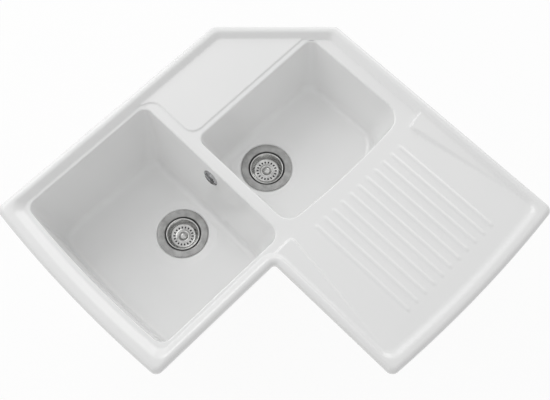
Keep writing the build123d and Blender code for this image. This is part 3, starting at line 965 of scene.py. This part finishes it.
@dataclass
class FireclayBody:
    """The glazed body: rim, deck, tap ledge, drainer, two bowls and their undersides.

    Insets come in fours, for the wall sides, wing ends, fronts and cut-off corner, and radii
    in threes, for the cut-off, the wing tips and the inner corner. Sizes are in mm, borders
    are plans from the wall corner, and heights are from the worktop.
    """

    glaze: bpy.types.Material
    biscuit: bpy.types.Material
    wing_length: float = 802.0
    wing_depth: float = 483.0
    end_bow: float = 11.0
    side_steps: tuple[int, ...] = (122, 60, 62, 40, 60, 100, 56)
    corner_cut: float = 193.0
    seat_width: float = 22.0
    rim_top: float = 18.0
    rim_round: float = 11.0
    deck: float = 5.0
    slab_bottom: float = -8.0
    seat_radii: tuple[float, float, float] = (8.0, 6.0, 30.0)
    edge_radii: tuple[float, float, float] = (16.0, 14.0, 8.0)
    edge_rows: Profile = ((2.4, 0.0), (1.0, 0.4), (0.3, 1.1), (0.0, 2.4))
    round_steps: int = 7
    crest: tuple[float, float, float, float] = (18.0, 21.0, 15.0, 17.0)
    crest_radii: tuple[float, float, float] = (28.0, 21.0, 24.0)
    foot: tuple[float, float, float, float] = (31.0, 40.0, 28.0, 30.0)
    foot_radii: tuple[float, float, float] = (22.0, 16.0, 36.0)
    slope_rows: tuple[float, ...] = (
        -0.25, -0.12, 0, 0.12, 0.25, 0.42, 0.6, 0.78, 0.9, 0.97, 1.04, 1.1, 1.16)
    slope_softness: tuple[float, float] = (0.25, 0.1)
    ledge_rise: float = 2.5
    ledge_slope: float = 1.6
    land_rise: float = 6.0
    land_slopes: tuple[float, float, float] = (2.8, 5.0, 3.2)
    land_turn: tuple[float, float] = (474.0, 505.0)
    fade_out: tuple[float, float] = (5.0, 11.0)
    ramp: tuple[float, float] = (454.0, 746.0)
    rib_count: int = 11
    rib_pitch: float = 25.0
    rib_first: float = -115.0
    rib_ends: tuple[float, float] = (490.0, 732.0)
    rib_fade: float = 0.6
    rib_half: float = 6.8
    rib_height: float = 1.5
    cell: float = 4.0
    grid_margin: float = 10.0
    border_gap: float = 3.0
    ledge_band: float = 4.5
    land_band: float = 6.0
    overflow: tuple[float, float] = (40.0, 13.0)
    tap_hole: tuple[float, float, float, float] = (100.0, -262.0, 17.5, 3.5)
    tap_steps: int = 36
    ledge: Profile = (
        (160, -30), (160, -379), (158.1, -388.6), (152.7, -396.7), (144.6, -402.1), (135, -404),
        (64, -404), (54, -405.5), (45, -410), (38, -418), (33, -429), (28, -438), (-20, -445),
        (-20, -30))
    back_land: Profile = (
        (455, 0), (463, -27), (466, -48), (468, -58), (472, -63.5), (479, -65), (490, -63.5),
        (600, -46), (712, -29), (830, -13), (830, 0))
    front_land: Profile = (
        (476, -500), (469, -474), (467, -450), (467, -428), (469, -421.5), (474, -419),
        (482, -419.5), (590, -433), (700, -448), (830, -464), (830, -500))

    def build(self) -> None:
        """Build the body in one closed mesh and let it stand for its CAD node."""
        mesh = bmesh.new()
        rim = self._rim(mesh)
        big, small = Bowl(BIG_BOWL, self.deck), Bowl(SMALL_BOWL, self.deck)
        bowls = [big.build(mesh), small.build(mesh)]
        self._deck(mesh, rim.edges, [lip for lip, _ in bowls])
        under = rim.first + self._tap_recess(mesh)
        for _, shell in bowls:
            under += shell
        fill(mesh, under, Skin.BARE)
        big.bore(mesh, *self.overflow)
        self._refine(mesh)
        self._raise(mesh)
        bmesh.ops.recalc_face_normals(mesh, faces=mesh.faces)
        made = keep_object("fireclay_body", mesh, from_corner(), (self.glaze, self.biscuit),
                           sharp=50)
        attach(made, "sink")
        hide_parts("sink_body")

    def corners(self, insets: Sequence[float]) -> list[Vector]:
        """Return the sharp corners for insets of the wall sides, ends, fronts and cut.

        Args:
            insets: The four insets.

        Returns:
            Seven corners, clockwise from the cut's end on the drainer's wall.
        """
        back, end, front, cut = insets
        near = self.corner_cut + cut * sqrt(2) - back
        tip, face = self.wing_length - end, self.wing_depth - front
        return [Vector(c) for c in (
            (near, -back), (tip, -back), (tip, -face), (face, -face),
            (face, -tip), (back, -tip), (back, -near))]

    def plan(self, insets: Sequence[float], radii: Sequence[float]) -> Plan:
        """Sample the plan for insets and for the radii of cut-off, tips and inner corner.

        Args:
            insets: Insets of the wall sides, ends, fronts and cut.
            radii: The three radii.

        Returns:
            The plan's points.
        """
        cut, tip, inner = radii
        outline = Outline((0, self.end_bow, 0, 0, self.end_bow, 0, 0), self.side_steps)
        return outline.points(self.corners(insets), (cut, tip, tip, inner, tip, tip, cut))

    def _rim_rows(self) -> Iterable[tuple[Sequence[float], float, Sequence[float]]]:
        """Yield the rim's insets, height and corner radii, from under the seat to the deck.

        Returns:
            Rows of four insets, a height and three radii.
        """
        for height in (self.slab_bottom, 0.0):
            yield (self.seat_width,) * 4, height, self.seat_radii
        for inset, height in self.edge_rows:
            yield (inset,) * 4, height, self.edge_radii
        centre = self.rim_top - self.rim_round
        cut, tip, inner = self.edge_radii
        for step in range(self.round_steps + 1):
            angle = pi / 2 * step / self.round_steps
            inset = self.rim_round * (1 - cos(angle))
            radii = (cut - inset / 2, tip - inset / 2, inner + inset)
            yield (inset,) * 4, centre + self.rim_round * sin(angle), radii
        for share in self.slope_rows:
            insets = [a + (b - a) * share for a, b in zip(self.crest, self.foot)]
            radii = [a + (b - a) * share for a, b in zip(self.crest_radii, self.foot_radii)]
            yield insets, self.rim_top - (self.rim_top - self.deck) * self._fall(share), radii

    def _fall(self, share: float) -> float:
        """Return how far the inner slope has fallen, with its two ends rounded.

        Args:
            share: Place across the slope, 0 at its crest and 1 at its foot.

        Returns:
            The fallen share of its height.
        """
        start, end = self.slope_softness
        if share < start:
            return (share + start) ** 2 / (4 * start)
        if share < 1 - end:
            return share
        return 1 - max(1 + end - share, 0) ** 2 / (4 * end)

    def _crest_line(self) -> np.ndarray:
        """Return the plan points of the rim's crest."""
        return np.array([point.to_tuple() for point in self.plan(self.crest, self.crest_radii)])

    def _rim(self, mesh: bmesh.types.BMesh) -> Loft:
        """Draw the rim's skin.

        Args:
            mesh: The body's mesh.

        Returns:
            The skin, whose last ring is the rim's foot.
        """
        rings = [lift(self.plan(insets, radii), height)
                 for insets, height, radii in self._rim_rows()]
        # The slab's side and the seat stay bare, and the glaze starts at the rim's edge.
        seat = Loft(mesh, rings[0], Skin.BARE).through(rings[1:3])
        seat.slot = Skin.GLAZED
        return seat.through(rings[3:])

    def _tap_recess(self, mesh: bmesh.types.BMesh) -> list[bmesh.types.BMEdge]:
        """Draw the blind recess under the tap ledge.

        Args:
            mesh: The body's mesh.

        Returns:
            The edges of its mouth.
        """
        x, y, radius, top = self.tap_hole
        circle = [Vector((x + radius * cos(angle), y + radius * sin(angle), self.slab_bottom))
                  for angle in round_angles(self.tap_steps)]
        recess = Loft(mesh, circle, Skin.BARE)
        recess.to([Vector((p.x, p.y, top)) for p in circle]).close()
        return recess.first

    def _deck(self, mesh: bmesh.types.BMesh, foot: list, lips: list[list]) -> None:
        """Lay a fine grid over the deck and fill between it, the rim and the bowls.

        Args:
            mesh: The body's mesh.
            foot: The edges of the rim's foot.
            lips: The edges of each bowl's lip.
        """
        half = self.wing_length / 2 + self.grid_margin
        count = int(2 * half / self.cell)
        place = Matrix.Translation((half, -half, self.deck))
        grid = bmesh.ops.create_grid(mesh, x_segments=count, y_segments=count, size=half,
                                     matrix=place)["verts"]
        points = np.array([vert.co.xy for vert in grid])
        keep = inside_distance(points, border_of(foot)) > self.border_gap
        for lip in lips:
            keep &= inside_distance(points, border_of(lip)) < -self.border_gap
        lost = [vert for vert, kept in zip(grid, keep) if not kept]
        bmesh.ops.delete(mesh, geom=lost, context="VERTS")
        loops = tidy_patch(mesh, [vert for vert in grid if vert.is_valid])
        outer = max(loops, key=lambda loop: spread(border_of(loop)))
        free = list(lips)
        for loop in loops:
            if loop is outer:
                continue
            mine = [lip for lip in free
                    if inside_distance(border_of(lip)[:1], border_of(loop))[0] > 0]
            fill(mesh, sum(mine, []) + loop)
            free = [lip for lip in free if lip not in mine]
        fill(mesh, sum(free, []) + outer + foot)

    def _rise(self, points: np.ndarray) -> np.ndarray:
        """Return how far the drainer, lands, ribs and ledge stand over the deck.

        Args:
            points: Plan points, one row each.

        Returns:
            Their heights over the deck.
        """
        x = points[:, 0]
        ramp = self.land_rise * np.clip((x - self.ramp[0]) / (self.ramp[1] - self.ramp[0]), 0, 1)
        land = np.zeros(len(points))
        end, back, front = self.land_slopes
        back = end + (back - end) * smooth_step(x, *self.land_turn)
        for border, slope in ((self.back_land, back), (self.front_land, front)):
            depth = inside_distance(points, np.array(border, float))
            land = np.maximum(land, smooth_step(depth / slope, -1.0, 1.0))
        depth = inside_distance(points, np.array(self.ledge, float))
        ledge = smooth_step(depth, -self.ledge_slope, self.ledge_slope)
        away = self._rib_distance(points) / self.rib_half
        ribs = 0.5 + 0.5 * np.cos(pi * np.clip(away, 0, 1))
        return (ramp + (self.land_rise - ramp) * land + self.ledge_rise * ledge
                + self.rib_height * ribs)

    def _rib_distance(self, points: np.ndarray) -> np.ndarray:
        """Return how far points lie from the nearest rib's middle line.

        Args:
            points: Plan points, one row each.

        Returns:
            Their distances in mm.
        """
        rows = self.rib_first - self.rib_pitch * np.arange(self.rib_count)
        off_row = np.abs(points[:, 1:2] - rows).min(axis=1)
        past_end = np.maximum(self.rib_ends[0] - points[:, 0], points[:, 0] - self.rib_ends[1])
        return np.hypot(off_row, np.maximum(past_end, 0) * self.rib_fade)

    def _refine(self, mesh: bmesh.types.BMesh) -> None:
        """Divide the faces of the deck and rim along every edge of ledge, land and rib.

        Args:
            mesh: The body's mesh.
        """
        low = self.deck - 0.01
        faces = [face for face in mesh.faces
                 if face.material_index == Skin.GLAZED and face.calc_center_median().z > low]
        points = np.array([face.calc_center_median().xy for face in faces])
        near = self._rib_distance(points) < self.rib_half
        bands = self.ledge_band, self.land_band, self.land_band
        for border, band in zip((self.ledge, self.back_land, self.front_land), bands):
            near |= np.abs(inside_distance(points, np.array(border, float))) < band
        near &= inside_distance(points, self._crest_line()) > 0
        edges = dict.fromkeys(
            edge for face, chosen in zip(faces, near) if chosen for edge in face.edges)
        bmesh.ops.subdivide_edges(mesh, edges=list(edges), cuts=2, use_grid_fill=True)

    def _raise(self, mesh: bmesh.types.BMesh) -> None:
        """Lift the skin inside the crest over the drainer, lands, ribs and ledge.

        Args:
            mesh: The body's mesh.
        """
        verts = [vert for vert in mesh.verts if vert.co.z > self.deck - WELD]
        points = np.array([vert.co.to_tuple() for vert in verts])
        over = points[:, 2] - self.deck
        share = 1 - smooth_step(over, *self.fade_out)
        share *= inside_distance(points[:, :2], self._crest_line()) > 0
        rise = self._rise(points[:, :2]) * share
        # The fourth powers take the higher of the two with a small hollow between them.
        for vert, height in zip(verts, (over**4 + rise**4) ** 0.25):
            vert.co.z = self.deck + height


def border_of(edges: Sequence[bmesh.types.BMEdge]) -> np.ndarray:
    """Return the plan points of a closed loop of edges, in order.

    Args:
        edges: The loop's edges, in any order.

    Returns:
        Its points, one row each.
    """
    follow = {vert: [] for edge in edges for vert in edge.verts}
    for edge in edges:
        first, second = edge.verts
        follow[first].append(second)
        follow[second].append(first)
    start = edges[0].verts[0]
    loop, before, here = [start], None, start
    while True:
        ahead = [vert for vert in follow[here] if vert is not before]
        before, here = here, ahead[0]
        if here is start:
            return np.array([vert.co.xy for vert in loop])
        loop.append(here)


def spread(border: np.ndarray) -> float:
    """Return the area of a border's bounding box."""
    return float(np.prod(border.max(axis=0) - border.min(axis=0)))


def tidy_patch(mesh: bmesh.types.BMesh, verts: list[bmesh.types.BMVert]) -> list[list]:
    """Leave one clean patch of a trimmed grid.

    Args:
        mesh: The mesh that holds it.
        verts: The grid's vertices.

    Returns:
        The edges of each of the patch's borders.
    """
    while True:
        edges = dict.fromkeys(edge for vert in verts for edge in vert.link_edges)
        wires = [edge for edge in edges if edge.is_wire]
        bmesh.ops.delete(mesh, geom=wires, context="EDGES")
        verts = [vert for vert in verts if vert.is_valid]
        poor = [vert for vert in verts
                if not vert.link_faces or sum(edge.is_boundary for edge in vert.link_edges) > 2]
        if not poor:
            break
        bmesh.ops.delete(mesh, geom=poor, context="VERTS")
        verts = [vert for vert in verts if vert.is_valid]
    patches = groups_of(verts, lambda vert: [e.other_vert(vert) for e in vert.link_edges])
    patches.sort(key=len)
    for patch in patches[:-1]:
        bmesh.ops.delete(mesh, geom=patch, context="VERTS")
    border = dict.fromkeys(
        edge for vert in patches[-1] for edge in vert.link_edges if edge.is_boundary)
    return groups_of(list(border), lambda edge: [
        other for vert in edge.verts for other in vert.link_edges if other in border])


def groups_of(items: Sequence, neighbours: Callable) -> list[list]:
    """Sort items into connected groups.

    Args:
        items: Vertices or edges.
        neighbours: Gives the items that one is connected to.

    Returns:
        The groups.
    """
    left, groups = dict.fromkeys(items), []
    for item in items:
        if item not in left:
            continue
        left.pop(item)
        group, queue = [], [item]
        while queue:
            here = queue.pop()
            group.append(here)
            for other in neighbours(here):
                if other in left:
                    left.pop(other)
                    queue.append(other)
        groups.append(group)
    return groups


# ---- basket strainers --------------------------------------------------------------------
def walled(mesh: bmesh.types.BMesh, gauge: float) -> None:
    """Give an open sheet its wall on the underside.

    Args:
        mesh: The sheet, seen from above.
        gauge: The wall's thickness.
    """
    bmesh.ops.recalc_face_normals(mesh, faces=mesh.faces)
    if sum(face.normal.z * face.calc_area() for face in mesh.faces) < 0:
        bmesh.ops.reverse_faces(mesh, faces=mesh.faces)
    bmesh.ops.solidify(mesh, geom=mesh.faces[:], thickness=gauge)


@dataclass
class BasketStrainer:
    """A bowl's pressed cup, its lift-out basket and the pull, drawn from the bowl's floor."""

    form: BowlForm
    steps: int = 126
    cup_gauge: float = 1.0
    basket_gauge: float = 0.9
    cup_sheet: Profile = (
        (56.4, -1.75), (56.1, -1.45), (55.4, -1.3), (52, -1.32), (47.5, -1.45), (43.5, -1.6),
        (42, -1.8), (40.9, -2.3), (40.2, -3.1), (39.7, -4.4), (39.1, -6.2), (36.8, -12.4),
        (34.2, -20), (31.9, -26.6), (31.2, -28), (30, -28.9), (28.4, -29.2))
    cup_holes: tuple[int, float, float] = (8, 16.0, 4.0)
    bolt_hole: float = 3.5
    hole_steps: int = 20
    basket_sheet: Profile = (
        (37.2, -4.7), (36.9, -4.35), (36.3, -4.2), (35.5, -4.3), (34.8, -4.7), (34.3, -5.4),
        (32, -9.7), (29.6, -14.2), (27.9, -17.3), (27.2, -18.2), (26.2, -18.8), (25, -19),
        (22.8, -19), (20.4, -19), (18, -19), (15.4, -19), (14.6, -18.6), (13.6, -17.9),
        (12.4, -17.7), (11.2, -17.9), (10.2, -18.6), (9.4, -19), (3.2, -19))
    slot_band: tuple[float, float] = (18.0, 22.8)
    slot_every: int = 7
    slot_width: int = 3
    pull_steps: int = 48
    pull: Profile = (
        (0, -12.4), (2.4, -12.5), (4.5, -13), (6.3, -13.8), (7.6, -14.8), (8.6, -16.2),
        (9, -17.4), (9, -18.6), (8.7, -18.9), (3, -18.95), (3, -25.2), (0, -25.2))

    def build(self) -> None:
        """Build the cup, the basket and its pull."""
        centre = (CORNER[0] + self.form.waste[0] * MM, CORNER[1] + self.form.waste[1] * MM)
        satin = Metal(f"satin_steel_{self.form.name}", (0.37, 0.37, 0.366), (0.26, 0.26, 0.256),
                      0.42, Lay.TURNED, centre).material()
        polished = Metal(f"polished_steel_{self.form.name}", (0.58, 0.58, 0.57),
                         (0.40, 0.40, 0.395), 0.2, Lay.TURNED, centre).material()
        self._keep("strainer_cup", self._cup(), satin, "sink")
        unit = f"{self.form.name}_basket_unit"
        self._keep("basket", self._basket(), polished, unit)
        self._keep("basket_knob", turned(self.pull, self.pull_steps), polished, unit)

    def _keep(
        self, piece: str, mesh: bmesh.types.BMesh, material: bpy.types.Material,
        body: str,
    ) -> None:
        """Put a piece in its place and let it stand for its CAD node.

        Args:
            piece: What it is, as its node's name says after the bowl's.
            mesh: Its mesh, in mm from the bowl's floor.
            material: Its material.
            body: The body that it rides on.
        """
        node = f"{self.form.name}_{piece}"
        place = from_corner(*self.form.waste, self.form.floor)
        made = keep_object(f"{node}_pressed", mesh, place, [material], sharp=35)
        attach(made, body)
        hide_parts(node)

    def _cup(self) -> bmesh.types.BMesh:
        """Press the cup, its floor drilled with drain holes round the bolt.

        Returns:
            The cup's mesh.
        """
        mesh = turned(self.cup_sheet, self.steps)
        low = self.cup_sheet[-1][1]
        rim = [edge for edge in mesh.edges if all(abs(v.co.z - low) < WELD for v in edge.verts)]
        count, circle, radius = self.cup_holes
        holes = [(0.0, 0.0, self.bolt_hole)]
        holes += [(circle * cos(angle), circle * sin(angle), radius)
                  for angle in round_angles(count)]
        for x, y, size in holes:
            place = Matrix.Translation((x, y, low))
            made = bmesh.ops.create_circle(mesh, segments=self.hole_steps, radius=size,
                                           matrix=place)
            rim += dict.fromkeys(edge for vert in made["verts"] for edge in vert.link_edges)
        fill(mesh, rim)
        walled(mesh, self.cup_gauge)
        return mesh

    def _basket(self) -> bmesh.types.BMesh:
        """Press the basket with a ring of radial slots in its floor.

        Returns:
            The basket's mesh.
        """
        mesh = turned(self.basket_sheet, self.steps)
        inner, outer = self.slot_band
        cut = []
        for face in mesh.faces:
            middle = face.calc_center_median()
            step = int((atan2(middle.y, middle.x) % (2 * pi)) / (2 * pi) * self.steps)
            if inner < middle.xy.length < outer and step % self.slot_every < self.slot_width:
                cut.append(face)
        bmesh.ops.delete(mesh, geom=cut, context="FACES")
        walled(mesh, self.basket_gauge)
        return mesh


# ---- pipework ----------------------------------------------------------------------------
@dataclass
class OverflowHose:
    """Ribbed hose from the overflow's elbow down to the spigot of the big waste body.

    It hangs at x and back from its top, bends by the bend's radius, and runs on at low to
    its front end.
    """

    x: float = 243.0
    back: float = -414.0
    top: float = -58.0
    low: float = -223.0
    front: float = -485.0
    bend: float = 45.0
    cuff: float = 16.0
    radius: float = 9.75
    groove: float = 1.25
    bore: float = 8.05
    rib_pitch: float = 4.6
    rib_steps: int = 6
    around: int = 22
    lining_rings: int = 40

    def build(self, material: bpy.types.Material) -> None:
        """Build the hose as one closed tube and let it stand for its CAD node.

        Args:
            material: The hose's material.
        """
        mesh = bmesh.new()
        length = self._station_length()
        outside = [(0.0, self.bore), (0.0, self.radius), (self.cuff, self.radius)]
        count = int((length - 2 * self.cuff) / self.rib_pitch)
        pitch = (length - 2 * self.cuff) / count
        for step in range(1, count * self.rib_steps):
            share = step / self.rib_steps
            radius = self.radius - self.groove * (0.5 - 0.5 * cos(2 * pi * share))
            outside.append((self.cuff + share * pitch, radius))
        outside += [(length - self.cuff, self.radius), (length, self.radius)]
        inside = [(length * (1 - step / self.lining_rings), self.bore)
                  for step in range(self.lining_rings + 1)]
        rings = [self._ring(way, radius) for way, radius in outside + inside]
        Loft(mesh, rings[0]).through(rings[1:])
        bmesh.ops.remove_doubles(mesh, verts=mesh.verts, dist=WELD)
        bmesh.ops.recalc_face_normals(mesh, faces=mesh.faces)
        made = keep_object("overflow_hose_ribbed", mesh, from_corner(), [material], sharp=60)
        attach(made, "sink")
        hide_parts("overflow_hose")

    def _station_length(self) -> float:
        """Return the length of the hose's middle line."""
        straight = self.top - self.low - self.bend + self.back - self.bend - self.front
        return straight + pi / 2 * self.bend

    def _ring(self, way: float, radius: float) -> list[Vector]:
        """Return a ring of points across the hose.

        Args:
            way: Length from the hose's top end.
            radius: The ring's radius.

        Returns:
            The ring's points.
        """
        drop = self.top - self.low - self.bend
        turn = min(max(way - drop, 0) / self.bend, pi / 2)
        rest = min(way, drop) if turn == 0 else drop + way - drop - self.bend * turn
        pivot = Matrix.Translation((self.x, self.back - self.bend, self.low + self.bend))
        swing = pivot @ Matrix.Rotation(-turn, 4, "X")
        place = swing @ Matrix.Translation((0, self.bend, drop - rest))
        return [place @ Vector((radius * cos(angle), radius * sin(angle), 0))
                for angle in round_angles(self.around)]


@dataclass
class Plumbing:
    """The hose, the pieces that keep their CAD shapes, and what all of them are made of."""

    rubber: Moulded = Moulded(
        "black_seal_rubber", (0.030, 0.030, 0.032), (0.018, 0.018, 0.019),
        (0.085, 0.083, 0.08), 0.62, 0.3)
    stopper: Moulded = Moulded(
        "black_stopper_rubber", (0.024, 0.024, 0.026), (0.014, 0.014, 0.015),
        (0.06, 0.06, 0.058), 0.5, 0.4)
    pipe: Moulded = Moulded("white_pipe", (0.80, 0.80, 0.785), (0.745, 0.745, 0.73),
                            (0.66, 0.65, 0.62), 0.36)
    nut: Moulded = Moulded("white_nut", (0.77, 0.77, 0.755), (0.71, 0.71, 0.695),
                           (0.62, 0.61, 0.585), 0.42)
    hose: Moulded = Moulded("pale_hose", (0.70, 0.70, 0.685), (0.62, 0.62, 0.605),
                            (0.55, 0.54, 0.515), 0.45)
    zinc: Metal = Metal("zinc_plate", (0.60, 0.61, 0.62), (0.45, 0.46, 0.48), 0.3)
    brass: Metal = Metal("cast_brass", (0.68, 0.50, 0.22), (0.52, 0.36, 0.15), 0.28, Lay.CAST)
    chrome: Metal = Metal("bright_chrome", (0.52, 0.52, 0.53), (0.40, 0.40, 0.41), 0.12)

    def build(self) -> None:
        """Make the hose and dress every other piece."""
        pieces = (
            (self.rubber, ("cup_gasket", "waste_gasket", "outlet_washer"),
             ("pipe_washers", "overflow_gasket")),
            (self.stopper, ("basket_stopper",), ()),
            (self.zinc, ("clamp_bolt",), ("hose_clips", "overflow_screw")),
            (self.brass, ("nut_insert",), ()),
            (self.pipe, ("waste_body",),
             ("small_elbow", "waste_tee", "link_pipe", "outlet_pipe", "overflow_elbow")),
            (self.nut, (), ("outlet_nuts", "pipe_nuts")),
            (self.chrome, (), ("overflow_rosette",)))
        for finish, one_a_bowl, single in pieces:
            material = finish.material()
            for node in (f"{bowl}_{piece}" for bowl in ("big", "small") for piece in one_a_bowl):
                dress(node, material)
            for node in single:
                dress(node, material)
        OverflowHose().build(self.hose.material())


# ---- studio ----------------------------------------------------------------------------
@dataclass(frozen=True)
class Lamp:
    """A square soft lamp that faces the sink."""

    name: str
    place: tuple[float, float, float]
    power: float
    size: float = 2.5
    aim: tuple[float, float, float] = (0.25, -0.25, 0.0)

    def hang(self) -> None:
        """Add the lamp to the scene."""
        data = bpy.data.lights.new(self.name, "AREA")
        data.shape, data.size, data.energy = "SQUARE", self.size, self.power
        lamp = bpy.data.objects.new(self.name, data)
        lamp.location = self.place
        way = Vector(self.aim) - Vector(self.place)
        lamp.rotation_euler = way.to_track_quat("-Z", "Y").to_euler()
        bpy.context.scene.collection.objects.link(lamp)


@dataclass(frozen=True)
class Studio:
    """Pale floor, soft lamps and a camera at the photograph's viewing angle."""

    camera_at: tuple[float, float, float] = (0.80852, -0.80667, 1.86973)
    camera_to: tuple[float, float, float] = (0.28009, -0.27849, 0.0)
    lens: float = 64.139
    sensor: float = 36.0
    floor_at: tuple[float, float, float] = (0.3, -0.3, -0.3925)
    floor_half: float = 9.0
    floor_glow: float = 0.93
    sky: float = 0.555
    lamps: tuple[Lamp, ...] = (
        Lamp("left_lamp", (-2.9, -0.3, 2.4), 49.0),
        Lamp("back_lamp", (-1.2, 3.4, 1.8), 33.0),
        Lamp("front_lamp", (-0.4, -3.2, 2.2), 8.0))

    def build(self) -> None:
        """Set the floor, lamps, world and camera."""
        self._floor()
        self._world()
        for lamp in self.lamps:
            lamp.hang()
        data = bpy.data.cameras.new("camera")
        data.lens, data.sensor_width, data.sensor_fit = self.lens, self.sensor, "HORIZONTAL"
        camera = bpy.data.objects.new("camera", data)
        camera.location = self.camera_at
        way = Vector(self.camera_to) - Vector(self.camera_at)
        camera.rotation_euler = way.to_track_quat("-Z", "Y").to_euler()
        scene = bpy.context.scene
        scene.collection.objects.link(camera)
        scene.camera = camera
        scene.view_settings.view_transform = "Standard"

    def _floor(self) -> None:
        """Lay a pale floor that shows white and keeps the object's shadow."""
        graph = Graph.named("studio_floor")
        mottle = graph.noise(graph.place(), scale=3.0, detail=3.0)
        tone = graph.blend(mottle, (0.90, 0.90, 0.90), (0.93, 0.93, 0.93))
        diffuse = graph.node("ShaderNodeBsdfDiffuse", None, {"Color": tone})
        glow = graph.node("ShaderNodeEmission", None, {"Color": (1, 1, 1, 1), "Strength": 1.0})
        seen = seen_directly(graph)
        mix = graph.node("ShaderNodeMixShader", None,
                         {0: seen * self.floor_glow, 1: diffuse.outputs[0], 2: glow.outputs[0]})
        graph.node("ShaderNodeOutputMaterial", None, {"Surface": mix.outputs[0]})
        mesh = bmesh.new()
        bmesh.ops.create_grid(mesh, x_segments=4, y_segments=4, size=self.floor_half)
        place = Matrix.Translation(self.floor_at)
        keep_object("studio_floor", mesh, place, [graph.owner])

    def _world(self) -> None:
        """Give the world a soft grey light that shows as white."""
        world = bpy.data.worlds.new("studio")
        bpy.context.scene.world = world
        graph = Graph(world)
        strength = seen_directly(graph) * (1 - self.sky) + self.sky
        light = graph.node("ShaderNodeBackground", None,
                           {"Color": (1, 1, 1, 1), "Strength": strength})
        graph.node("ShaderNodeOutputWorld", None, {"Surface": light.outputs[0]})


def seen_directly(graph: Graph) -> Signal:
    """Return 1 where a camera, glossy or transmission ray looks, else 0.

    Args:
        graph: The material or world under construction.

    Returns:
        The signal.
    """
    path = graph.node("ShaderNodeLightPath")
    seen = Signal(graph, path.outputs["Is Camera Ray"])
    seen = graph.maths("MAXIMUM", seen, Signal(graph, path.outputs["Is Glossy Ray"]))
    return graph.maths("MAXIMUM", seen, Signal(graph, path.outputs["Is Transmission Ray"]))


def main() -> None:
    """Build the sink's looks in order."""
    logging.basicConfig(level=logging.INFO, format="%(name)s: %(message)s")
    Studio().build()
    glaze, biscuit = WhiteGlaze().material(), BareFireclay().material()
    FireclayBody(glaze, biscuit).build()
    for form in (BIG_BOWL, SMALL_BOWL):
        BasketStrainer(form).build()
    Plumbing().build()


if __name__ == "__main__":
    main()
